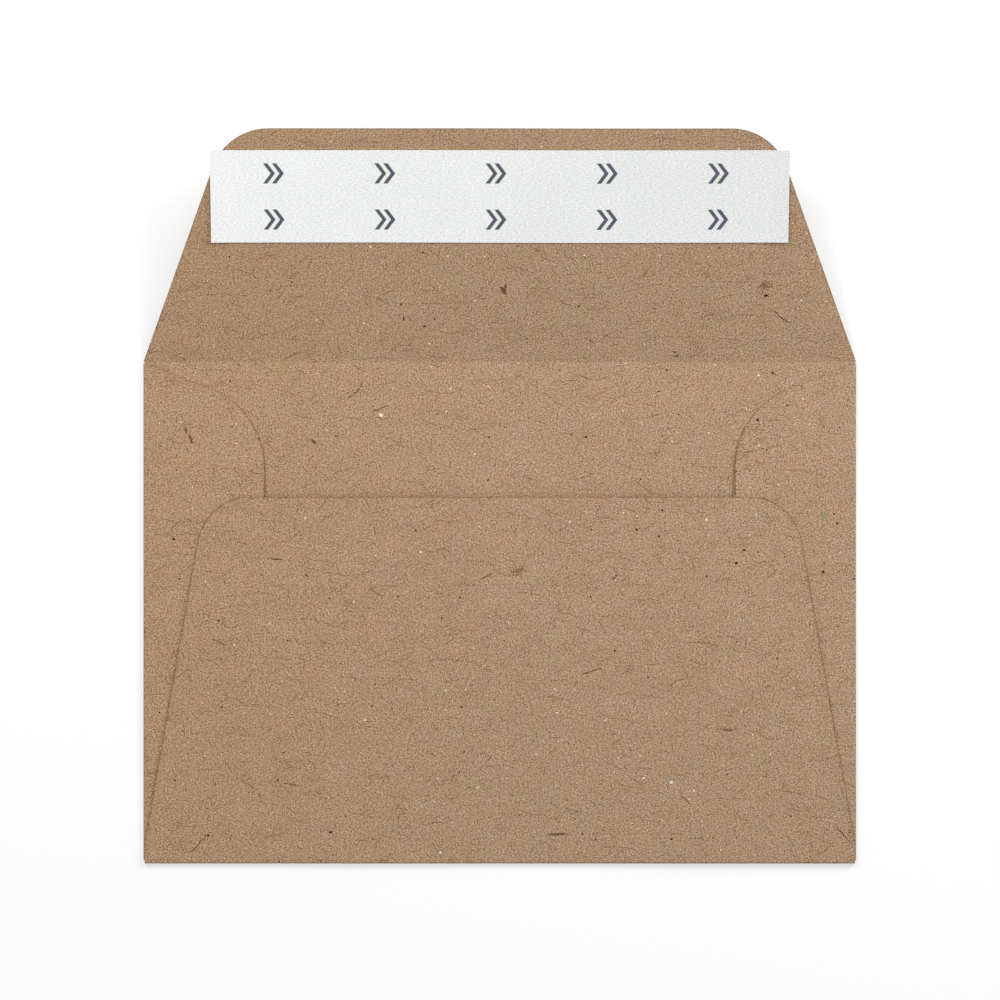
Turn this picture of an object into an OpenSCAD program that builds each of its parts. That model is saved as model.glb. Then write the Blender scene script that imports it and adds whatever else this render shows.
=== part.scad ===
// Pocket envelope, C6 size, of recycled kraft paper, with a peel and seal strip.
// One die-cut sheet is folded into a front panel, two side flaps, a bottom flap and a top flap.
// It lies on its front panel with the top flap open. The origin is at the centre of the front
// panel's outer face: X runs along the long side, +Y towards the top flap, +Z through the plies.
// All sizes are in millimetres.

/* [Paper] */
// Thickness of the paper
paper_t = 0.15; // [0.1:0.01:0.25]
// Clear height of the pocket between the front panel and the side flaps
pocket_gap = 0.3; // [0.2:0.05:0.6]
// How far each flap is cut in from either end of its fold
flap_ease = 0.05; // [0.02:0.01:0.3]
// Facet angle of the rounded corners, in degrees
arc_step = 5; // [2:1:10]

/* [Front panel] */
// Width of the envelope over its two side folds
body_w = 162; // [140:1:190]
// Height of the envelope from its bottom fold to its top fold
body_h = 114; // [100:1:140]
// Notch left at each corner between two neighbouring folds
corner_relief = 0.3; // [0.3:0.1:1.5]

/* [Side flaps] */
// Width of a side flap, from its fold to its inner edge
side_flap_w = 27.5; // [24:0.5:36]
// Slope of a side flap's upper and lower edge, away from square to its fold, in degrees
side_flap_angle = 21; // [10:1:30]
// Radius of a side flap's two inner corners
side_flap_r = 19.4; // [4:0.2:24]

/* [Bottom flap] */
// Height of the bottom flap above its fold
bottom_flap_h = 83.3; // [60:0.1:92]
// Height at which the bottom flap's sides leave the sides of the envelope
bottom_flap_shoulder = 2.4; // [2:0.1:12]
// Slope of the bottom flap's sides, in degrees
bottom_flap_angle = 10; // [6:0.5:12]
// Radius of the bottom flap's two upper corners
bottom_flap_r = 12; // [3:0.5:20]

/* [Top flap] */
// Depth of the top flap from its fold to its edge
top_flap_h = 53.4; // [46:0.2:62]
// Height at which the top flap's sides leave the sides of the envelope
top_flap_shoulder = 0; // [0:0.1:6]
// Slope of the top flap's sides, in degrees
top_flap_angle = 20.3; // [15:0.1:24]
// Radius of the top flap's two corners
top_flap_r = 13.5; // [3:0.5:18]
// Inner radius of the top fold, which has been creased and opened again
top_fold_r = 0.3; // [0.2:0.05:1]
// Angle at which the open top flap rises from its fold, in degrees
top_flap_lean = 14; // [4:1:40]

/* [Side seams] */
// Thickness of the glue film in the side seams
seam_glue_t = 0.05; // [0.03:0.01:0.1]
// Width of the glue film
seam_glue_w = 6; // [3:0.5:7]
// Distance of the glue film from the bottom flap's sloping edge
seam_glue_inset = 2; // [1:0.5:3]
// Distance of the glue film's lower end from the bottom fold
seam_glue_foot = 8; // [6:1:20]
// Distance of the glue film's upper end from the bottom flap's top edge
seam_glue_head = 10; // [8:1:25]

/* [Peel and seal strip] */
// Distance of the release liner from the top flap's edge
liner_margin = 4.9; // [2:0.1:8]
// Height of the release liner
liner_h = 21; // [14:0.5:26]
// Distance of each end of the liner from the side of the envelope
liner_end = 15.9; // [13:0.1:22]
// Thickness of the liner
liner_t = 0.08; // [0.05:0.01:0.15]
// Thickness of the seal adhesive under the liner
adhesive_t = 0.1; // [0.05:0.01:0.2]
// Margin of bare liner above and below the adhesive
adhesive_margin = 3; // [2:0.5:5]
// Length of each dry end of the liner, past the adhesive, to grip it by
adhesive_end = 6; // [5:0.5:12]

/* [Hidden] */

// Circles, and the turned bends at the folds, are cut fine
$fn = 96;
// A flap that is folded right over turns through half a circle
FOLDED = 180;

// Inner and outer radius of the side folds: a side flap lies over the open pocket
side_fold_in = pocket_gap / 2;
side_fold_out = side_fold_in + paper_t;
// The bottom flap lies over the pocket, the side flaps and the glue
bottom_fold_in = (pocket_gap + paper_t + seam_glue_t) / 2;
bottom_fold_out = bottom_fold_in + paper_t;

// The flat part of the front panel, inside its folds
panel_w = body_w - 2 * side_fold_out;
panel_bottom = -body_h / 2 + bottom_fold_out;
panel_top = body_h / 2;
side_fold_from = panel_bottom + corner_relief;
side_fold_to = panel_top - corner_relief;

// Level of the side flaps' outer face, on which the seam glue lies
seam_level = 2 * paper_t + pocket_gap;

function unit(v) = v / norm(v);

// The arc of radius r that rounds corner b of a path from a to c, as a list of points
function rounded_corner(a, b, c, r) =
    let (
        to_a = unit(a - b),
        to_c = unit(c - b),
        half = acos(to_a * to_c) / 2,
        centre = b + unit(to_a + to_c) * r / sin(half),
        first = b + to_a * r / tan(half),
        turn = 180 - 2 * half,
        steps = ceil(turn / arc_step),
        start = atan2(first.y - centre.y, first.x - centre.x)
    )
    [for (i = [0:steps]) centre + r * [cos(start + i * turn / steps), sin(start + i * turn / steps)]];

// An outline whose corners [x, y, radius], listed anticlockwise, are rounded by tangent arcs
function rounded_outline(corners) =
    let (count = len(corners), at = [for (c = corners) [c.x, c.y]])
    [for (i = [0:count - 1])
        each corners[i].z > 0
            ? rounded_corner(at[(i + count - 1) % count], at[i], at[(i + 1) % count], corners[i].z)
            : [at[i]]];

// Half width, at a height above the fold, of a flap whose sides leave the line full_w / 2 at its shoulder
function flap_half(full_w, shoulder, angle, height) = full_w / 2 - max(0, height - shoulder) * tan(angle);

// Outline of a flap on a fold fold_w long on the X axis, tapering to its edge at Y = depth
module flap_outline(fold_w, full_w, depth, shoulder, angle, corner_r) {
    foot = fold_w / 2 - flap_ease;
    taper_from = shoulder + (full_w / 2 - foot) / tan(angle);
    tip = flap_half(full_w, shoulder, angle, depth);
    polygon(rounded_outline([
        [foot, 0, 0],
        [foot, taper_from, 0],
        [tip, depth, corner_r],
        [-tip, depth, corner_r],
        [-foot, taper_from, 0],
        [-foot, 0, 0]
    ]));
}

// Places things on the inner face of a flap that bends up, by an angle, from its fold on the X axis
module on_flap(inner_r, angle) {
    translate([0, 0, paper_t + inner_r])
        rotate([angle, 0, 0])
            translate([0, 0, -inner_r])
                children();
}

// A bend of the sheet about the X axis: a ring cut off at the panel and at the start of the flap
module bend(fold_w, inner_r, angle) {
    outer_r = inner_r + paper_t;
    reach = 2 * outer_r;
    intersection() {
        rotate([0, 90, 0])
            linear_extrude(fold_w, center = true)
                difference() {
                    circle(outer_r);
                    circle(inner_r);
                }
        translate([-fold_w, 0, -reach])
            cube([2 * fold_w, reach, 2 * reach]);
        rotate([angle, 0, 0])
            translate([-fold_w, -reach, -reach])
                cube([2 * fold_w, reach, 2 * reach]);
    }
}

// One flap of the sheet: its bend, and the flat panel past it, given as an outline
module folded_flap(fold_w, inner_r, angle) {
    translate([0, 0, paper_t + inner_r])
        bend(fold_w, inner_r, angle);
    on_flap(inner_r, angle)
        translate([0, 0, -paper_t])
            linear_extrude(paper_t)
                children();
}

// Puts a flap's fold on an edge of the front panel: where the fold is, and which way the flap opens
module at_edge(place, heading) {
    translate([place.x, place.y, 0])
        rotate([0, 0, heading])
            children();
}

module side_flap(side) {
    fold_w = side_fold_to - side_fold_from;
    at_edge([side * panel_w / 2, (side_fold_to + side_fold_from) / 2], -90 * side)
        folded_flap(fold_w, side_fold_in, FOLDED)
            flap_outline(fold_w, fold_w, side_flap_w - side_fold_out, 0, side_flap_angle, side_flap_r);
}

module bottom_flap() {
    at_edge([0, panel_bottom], 180)
        folded_flap(panel_w, bottom_fold_in, FOLDED)
            flap_outline(
                panel_w, body_w, bottom_flap_h - bottom_fold_out,
                bottom_flap_shoulder - bottom_fold_out, bottom_flap_angle, bottom_flap_r
            );
}

module top_flap() {
    at_edge([0, panel_top], 0)
        folded_flap(panel_w, top_fold_r, top_flap_lean)
            flap_outline(panel_w, body_w, top_flap_h, top_flap_shoulder, top_flap_angle, top_flap_r);
}

module front_panel() {
    translate([-panel_w / 2, panel_bottom, 0])
        cube([panel_w, panel_top - panel_bottom, paper_t]);
}

// The whole die-cut sheet, folded
module envelope_sheet() {
    color("#b4946f") {
        front_panel();
        for (side = [-1, 1])
            side_flap(side);
        bottom_flap();
        top_flap();
    }
}

// A stripe of glue between a side flap and the bottom flap, along the bottom flap's sloping edge
module seam_glue(side) {
    foot_y = -body_h / 2 + seam_glue_foot;
    head_y = -body_h / 2 + bottom_flap_h - seam_glue_head;
    foot_x = flap_half(body_w, bottom_flap_shoulder, bottom_flap_angle, seam_glue_foot);
    head_x = flap_half(body_w, bottom_flap_shoulder, bottom_flap_angle, bottom_flap_h - seam_glue_head);
    outer = seam_glue_inset / cos(bottom_flap_angle);
    inner = (seam_glue_inset + seam_glue_w) / cos(bottom_flap_angle);
    end_r = 0.4 * seam_glue_w;
    color("#d8c9a8")
        mirror([side < 0 ? 1 : 0, 0, 0])
            translate([0, 0, seam_level])
                linear_extrude(seam_glue_t)
                    polygon(rounded_outline([
                        [foot_x - inner, foot_y, end_r],
                        [foot_x - outer, foot_y, end_r],
                        [head_x - outer, head_y, end_r],
                        [head_x - inner, head_y, end_r]
                    ]));
}

module seam_glue_left() {
    seam_glue(-1);
}

module seam_glue_right() {
    seam_glue(1);
}

// A flat strip on the inner face of the open top flap, centred, from one distance off its fold
module flap_strip(width, height, from, level, thickness) {
    at_edge([0, panel_top], 0)
        on_flap(top_fold_r, top_flap_lean)
            translate([-width / 2, from, level])
                cube([width, height, thickness]);
}

module seal_adhesive() {
    color("#e9e2cf")
        flap_strip(
            body_w - 2 * (liner_end + adhesive_end),
            liner_h - 2 * adhesive_margin,
            top_flap_h - liner_margin - liner_h + adhesive_margin,
            0,
            adhesive_t
        );
}

module release_liner() {
    color("#eef0f0")
        flap_strip(
            body_w - 2 * liner_end,
            liner_h,
            top_flap_h - liner_margin - liner_h,
            adhesive_t,
            liner_t
        );
}

envelope_sheet();
seam_glue_left();
seam_glue_right();
seal_adhesive();
release_liner();
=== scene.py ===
"""A C6 envelope of recycled kraft paper with its top flap open, dressed and lit for a studio picture.

Sizes are in millimetres until a mesh is made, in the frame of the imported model: the envelope lies on
its front panel, X runs along the long side, +Y towards the top flap and +Z up through the plies.
"""

from __future__ import annotations

import logging
import math
from dataclasses import dataclass, field
from enum import Enum
from typing import Any, Callable, Sequence, Union

import bpy
import numpy as np
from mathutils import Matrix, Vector


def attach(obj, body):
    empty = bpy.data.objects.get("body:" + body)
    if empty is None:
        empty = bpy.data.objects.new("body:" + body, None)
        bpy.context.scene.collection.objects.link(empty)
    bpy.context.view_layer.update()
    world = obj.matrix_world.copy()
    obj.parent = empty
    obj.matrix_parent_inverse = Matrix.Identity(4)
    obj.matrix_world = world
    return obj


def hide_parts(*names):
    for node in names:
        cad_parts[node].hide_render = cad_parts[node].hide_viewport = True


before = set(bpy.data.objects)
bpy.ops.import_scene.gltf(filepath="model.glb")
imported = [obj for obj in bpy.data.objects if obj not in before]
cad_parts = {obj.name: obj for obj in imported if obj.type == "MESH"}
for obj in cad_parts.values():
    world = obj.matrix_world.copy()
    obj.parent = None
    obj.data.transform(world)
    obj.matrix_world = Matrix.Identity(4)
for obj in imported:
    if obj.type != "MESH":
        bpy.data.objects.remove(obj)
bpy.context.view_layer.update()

# Two or three numbers, such as a place or a size, and a colour with its alpha
Pair = tuple[float, float]
Triple = tuple[float, float, float]
Colour = tuple[float, float, float, float]

LOG = logging.getLogger("envelope")
MM = 0.001
# What a mesh stores at its points: the place on the flat sheet, and how dark it is beside a cut edge,
# partly die burnish and partly painted edge shade
SHEET_PLACE = "sheet_place"
CUT_EDGE = "cut_edge"
# Width of the dark line along a cut edge, partly die burnish and partly painted edge shade
BURNISH_AND_SHADE_W = 0.22
# How far a seed, or a heading's shift, moves a pattern up for each step that it moves it across
SEED_SLANT = 0.37
HEADING_SLANT = 2.3
# Settings of a Map Range node, and the sockets of a Mix node that mixes colours, by number
SMOOTH_STEP = {"interpolation_type": "SMOOTHSTEP"}
MIX_SHARE, MIX_FIRST, MIX_SECOND, MIX_RESULT = 0, 6, 7, 2


class Slot(Enum):
    """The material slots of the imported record."""

    KRAFT = "kraft_paper"
    GLUE = "seam_glue"
    ADHESIVE = "seal_adhesive"
    LINER = "liner_paper"


class Face(Enum):
    """The two faces of a sheet, by the way its thickness grows from the middle."""

    INNER = 1.0
    OUTER = -1.0


class Ply(Enum):
    """The parts of the folded sheet that show from above, each with the face that shows."""

    FRONT_PANEL = ("front panel", Face.INNER)
    BOTTOM_FLAP = ("bottom flap", Face.OUTER)
    SIDE_FLAP = ("side flap", Face.OUTER)
    TOP_FLAP = ("top flap", Face.INNER)


@dataclass(frozen=True)
class View:
    """The photograph's view, straight down, which also places what is given by its pixel."""

    # Width of the floor that the picture shows, and the place at its middle, in millimetres
    width: float = 227.48
    centre: Pair = (0.05, 25.63)
    camera_height: float = 877.0
    # Width and height of the picture
    pixels: float = 1000.0

    def place(self, pixel: Pair, height: float = 0.0) -> Pair:
        """The place that a pixel shows.

        Args:
            pixel: The pixel, counted from the left and from the top.
            height: The height over the floor of what it shows, in millimetres.

        Returns:
            The place along X and Y, in millimetres.
        """
        scale = self.width / self.pixels * (1 - height / self.camera_height)
        right, down = pixel[0] - self.pixels / 2, pixel[1] - self.pixels / 2
        return self.centre[0] + right * scale, self.centre[1] - down * scale


# Shader expressions


class Wire:
    """A node's output that takes part in shader expressions with others and with plain numbers.

    Each operator adds one Math node.
    """

    def __init__(self, graph: Graph, socket: bpy.types.NodeSocket) -> None:
        """Wraps a socket of a graph."""
        self.graph = graph
        self.socket = socket

    def _math(self, operation: str, *values: Value) -> Wire:
        """The output of a new Math node with these inputs."""
        node = self.graph.node("ShaderNodeMath", {"operation": operation}, dict(enumerate(values)))
        return Wire(self.graph, node.outputs[0])

    def __add__(self, other: Value) -> Wire:
        """self + other."""
        return self._math("ADD", self, other)

    __radd__ = __add__

    def __sub__(self, other: Value) -> Wire:
        """self - other."""
        return self._math("SUBTRACT", self, other)

    def __rsub__(self, other: Value) -> Wire:
        """other - self."""
        return self._math("SUBTRACT", other, self)

    def __mul__(self, other: Value) -> Wire:
        """self * other."""
        return self._math("MULTIPLY", self, other)

    __rmul__ = __mul__

    def __truediv__(self, other: Value) -> Wire:
        """self / other."""
        return self._math("DIVIDE", self, other)

    def __rtruediv__(self, other: Value) -> Wire:
        """other / self."""
        return self._math("DIVIDE", other, self)

    def __abs__(self) -> Wire:
        """The size of self, without its sign."""
        return self._math("ABSOLUTE", self)

    def fract(self) -> Wire:
        """The part of self after the point."""
        return self._math("FRACT", self)

    def least(self, other: Value) -> Wire:
        """The smaller of self and other."""
        return self._math("MINIMUM", self, other)

    def most(self, other: Value) -> Wire:
        """The larger of self and other."""
        return self._math("MAXIMUM", self, other)

    def ramp(self, start: Value, end: Value) -> Wire:
        """A smooth step of self, from 0 at start to 1 at end, which may lie below start."""
        sockets = {"Value": self, "From Min": start, "From Max": end}
        return self.graph.out(self.graph.node("ShaderNodeMapRange", SMOOTH_STEP, sockets))


Value = Union[Wire, float]


class Graph:
    """The node tree of a material or a world, built by expressions."""

    def __init__(self, owner: bpy.types.Material | bpy.types.World) -> None:
        """Empties the node tree of a new material or world."""
        owner.use_nodes = True
        self.owner = owner
        self.tree = owner.node_tree
        self.tree.nodes.clear()

    def node(
        self,
        kind: str,
        settings: dict[str, Any] | None = None,
        sockets: dict[str | int, Any] | None = None,
    ) -> bpy.types.Node:
        """Adds a node.

        Args:
            kind: The node's type.
            settings: Its properties, set first.
            sockets: The value of each input, or the Wire that feeds it, by the input's name or number.

        Returns:
            The node.
        """
        made = self.tree.nodes.new(kind)
        for key, value in (settings or {}).items():
            setattr(made, key, value)
        for key, value in (sockets or {}).items():
            if isinstance(value, Wire):
                self.tree.links.new(value.socket, made.inputs[key])
            else:
                made.inputs[key].default_value = value
        return made

    def out(self, made: bpy.types.Node, name: str | int = 0) -> Wire:
        """One output of a node, by name or number."""
        return Wire(self, made.outputs[name])

    def attribute(self, name: str) -> Wire:
        """A vector that the mesh stores at its points."""
        return self.out(self.node("ShaderNodeAttribute", {"attribute_name": name}), "Vector")

    def vector(self, operation: str, first: Any, second: Any) -> Wire:
        """A Vector Math node on two vectors, each a Wire or three numbers."""
        return self.out(self.node("ShaderNodeVectorMath", {"operation": operation}, {0: first, 1: second}))

    def scale(self, vector: Any, factor: Value) -> Wire:
        """A vector, or three numbers, times one number."""
        sockets = {"Vector": vector, "Scale": factor}
        return self.out(self.node("ShaderNodeVectorMath", {"operation": "SCALE"}, sockets))

    def split(self, vector: Wire) -> tuple[Wire, Wire, Wire]:
        """The three numbers of a vector."""
        made = self.node("ShaderNodeSeparateXYZ", None, {0: vector})
        return self.out(made, 0), self.out(made, 1), self.out(made, 2)

    def turn(self, vector: Wire, angle: Value) -> Wire:
        """A vector turned about Z by an angle in radians."""
        settings = {"rotation_type": "Z_AXIS"}
        return self.out(self.node("ShaderNodeVectorRotate", settings, {"Vector": vector, "Angle": angle}))

    def noise(
        self, place: Wire, per_mm: float, detail: float, rough: float = 0.5, output: str = "Fac"
    ) -> Wire:
        """Soft noise around 0.5, or three that don't follow each other from the output "Color"."""
        sockets = {"Vector": place, "Scale": per_mm, "Detail": detail, "Roughness": rough}
        return self.out(self.node("ShaderNodeTexNoise", {"noise_dimensions": "2D"}, sockets), output)

    def length(self, vector: Wire) -> Wire:
        """The length of a vector."""
        return self.out(self.node("ShaderNodeVectorMath", {"operation": "LENGTH"}, {0: vector}), "Value")

    def cells(self, place: Wire, size: Pair, seed: float) -> Cell:
        """Divides the surface into random cells.

        Args:
            place: The place on the surface, in millimetres.
            size: The mean width and height of a cell.
            seed: Shifts the pattern, so that two layers differ.

        Returns:
            The cell that holds each place.
        """
        scaled = self.vector("MULTIPLY", place, (1 / size[0], 1 / size[1], 0.0))
        shifted = self.vector("ADD", scaled, (seed, seed * SEED_SLANT, 0.0))
        sockets = {"Vector": shifted, "Scale": 1.0}
        made = self.node("ShaderNodeTexVoronoi", {"voronoi_dimensions": "2D"}, sockets)
        offset = self.vector("SUBTRACT", shifted, self.out(made, "Position"))
        chance = self.split(self.out(made, "Color"))
        return Cell(self.vector("MULTIPLY", offset, (*size, 0.0)), chance)

    def mix(self, share: Value, first: Any, second: Any) -> Wire:
        """Mixes two colours, or their Wires, by the share of the second one, from 0 to 1."""
        sockets = {MIX_SHARE: share, MIX_FIRST: first, MIX_SECOND: second}
        return self.out(self.node("ShaderNodeMix", {"data_type": "RGBA"}, sockets), MIX_RESULT)

    def times(self, colour: Any, factor: Wire) -> Wire:
        """A colour, or its Wire, with each channel times its own factor."""
        return self.vector("MULTIPLY", colour if isinstance(colour, Wire) else colour[:3], factor)

    def shade(self, colour: Any, change: Value, weights: Sequence[float] = (1.0, 1.0, 1.0)) -> Wire:
        """Makes a colour lighter by a share of itself, or darker, each channel by its own weight."""
        return self.times(colour, self.vector("ADD", self.scale(weights, change), (1.0, 1.0, 1.0)))

    def tint(self, colour: Any, noises: Wire, weights: Sequence[float]) -> Wire:
        """Shifts each channel of a colour by a noise of its own around 0.5, by its own weight."""
        shifts = self.vector("MULTIPLY", self.vector("SUBTRACT", noises, (0.5, 0.5, 0.5)), tuple(weights))
        return self.times(colour, self.vector("ADD", shifts, (1.0, 1.0, 1.0)))

    def bump(self, height: Wire, depth_mm: float) -> Wire:
        """A normal bent by a height from 0 to 1 that stands for a relief of a given depth."""
        sockets = {"Height": height, "Distance": depth_mm * MM, "Strength": 1.0}
        return self.out(self.node("ShaderNodeBump", None, sockets), "Normal")

    def surface(self, **sockets: Any) -> bpy.types.Material:
        """Ends a material in a Principled shader.

        Args:
            sockets: The shader's inputs, with underscores for spaces.

        Returns:
            The material.
        """
        named = {key.replace("_", " "): value for key, value in sockets.items()}
        shader = self.node("ShaderNodeBsdfPrincipled", None, named)
        self.node("ShaderNodeOutputMaterial", None, {"Surface": self.out(shader)})
        return self.owner


@dataclass(frozen=True)
class Cell:
    """One random cell of a surface: the way from its middle, in millimetres, and three random numbers."""

    offset: Wire
    chance: tuple[Wire, Wire, Wire]


def srgb(*levels: float) -> Colour:
    """A colour as the shader takes it, from the red, green and blue of a picture, each 0 to 255."""
    shares = (level / 255 for level in levels)
    return (*(s / 12.92 if s <= 0.04045 else ((s + 0.055) / 1.055) ** 2.4 for s in shares), 1.0)


# Finishes


@dataclass(frozen=True)
class FibreLayer:
    """One layer of loose fibres in the paper, each fibre in a random cell of its own.

    Lengths are in millimetres and angles in degrees. A fibre veers from the heading by up to the spread,
    curl and sway bend it, and the share is that of the cells that have one.
    """

    cell: Pair
    heading: float
    spread: float
    length: Pair
    width: float
    curl: float
    sway: float
    share: float
    strength: float
    seed: float
    # How much a fibre wavers, for its width, and what shares of its length and width aren't faded
    waver: float = 1.4
    whole: Pair = (0.7, 0.3)

    def mask(self, graph: Graph, place: Wire, sway: Wire, quiver: Wire) -> Wire:
        """Where the layer's fibres lie, and how dark they are.

        Args:
            graph: The material's graph.
            place: The place on the sheet, in millimetres.
            sway: Broad noise around 0.5 that bends the fibres.
            quiver: Fine noise around 0.5 that makes them waver.

        Returns:
            The mask, which is 0 between the fibres.
        """
        turned = graph.turn(place, math.radians(-self.heading))
        cell = graph.cells(turned, self.cell, self.seed)
        angle, bend, reach = cell.chance
        veer = (angle - 0.5) * math.radians(2 * self.spread)
        along, across, _ = graph.split(graph.turn(cell.offset, veer))
        arc = (bend - 0.5) * (2 * self.curl) * along * along
        path = across + arc + (sway - 0.5) * self.sway + (quiver - 0.5) * (self.waver * self.width)
        half = (reach * (self.length[1] - self.length[0]) + self.length[0]) * 0.5
        end = abs(along).ramp(half, half * self.whole[0])
        line = abs(path).ramp(self.width, self.width * self.whole[1])
        present = (angle * 7.31 + reach * 3.7).fract()
        return end * line * present.ramp(1 - self.share, 1 - self.share * 0.5) * self.strength


@dataclass(frozen=True)
class SpeckLayer:
    """One layer of specks in the paper, each speck in a random cell of its own.

    Lengths are in millimetres, and the share is that of the cells that have a speck, of whose radius
    the whole share isn't faded.
    """

    cell: float
    radius: Pair
    share: float
    seed: float
    fray: float = 2.2
    whole: float = 0.7

    def mask(self, graph: Graph, place: Wire, ragged: Wire) -> Wire:
        """Where the layer's specks lie.

        Args:
            graph: The material's graph.
            place: The place on the sheet, in millimetres.
            ragged: Noise around 0.5 that frays the specks' outlines.

        Returns:
            The mask, from 0 to 1.
        """
        cell = graph.cells(place, (self.cell, self.cell), self.seed)
        size, present, _ = cell.chance
        radius = size * (self.radius[1] - self.radius[0]) + self.radius[0]
        frayed = graph.length(cell.offset) + (ragged - 0.5) * radius * self.fray
        return frayed.ramp(radius, radius * self.whole) * present.ramp(1 - self.share, 1.02 - self.share)


class Tone(Enum):
    """What a mark in the paper is, by its colour."""

    BARK = srgb(92, 62, 36)
    SOOT = srgb(38, 8, 0)
    CHALK = srgb(246, 236, 220)
    RUST = srgb(132, 84, 58)
    MOSS = srgb(118, 126, 98)
    OCHRE = srgb(152, 116, 66)
    ROSE = srgb(172, 130, 118)


@dataclass(frozen=True)
class Mark:
    """One bit in the paper that stands out, at a pixel of the photograph.

    Its size is its length and width in millimetres, and its angle is seen in the picture, in degrees
    anticlockwise from level. Its rim is where it begins and is complete, as shares of that size.
    """

    ply: Ply
    pixel: Pair
    size: Pair
    angle: float
    tone: Tone
    fray: float = 1.5
    depth: float = 0.85
    rim: Pair = (1.1, 0.75)

    def mask(self, graph: Graph, place: Wire, ragged: Wire, at: Triple) -> Wire:
        """Where the mark lies.

        Args:
            graph: The material's graph.
            place: The place on the sheet, in millimetres.
            ragged: Noise around 0.5 that frays the mark's outline.
            at: The mark's own place on the sheet.

        Returns:
            The mask, from 0 to 1.
        """
        mirrored = self.ply.value[1].value
        turned = graph.turn(graph.vector("SUBTRACT", place, at), -math.radians(self.angle * mirrored))
        scaled = graph.vector("MULTIPLY", turned, (2 / self.size[0], 2 / self.size[1], 0.0))
        return (graph.length(scaled) + (ragged - 0.5) * self.fray).ramp(*self.rim) * self.depth


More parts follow.
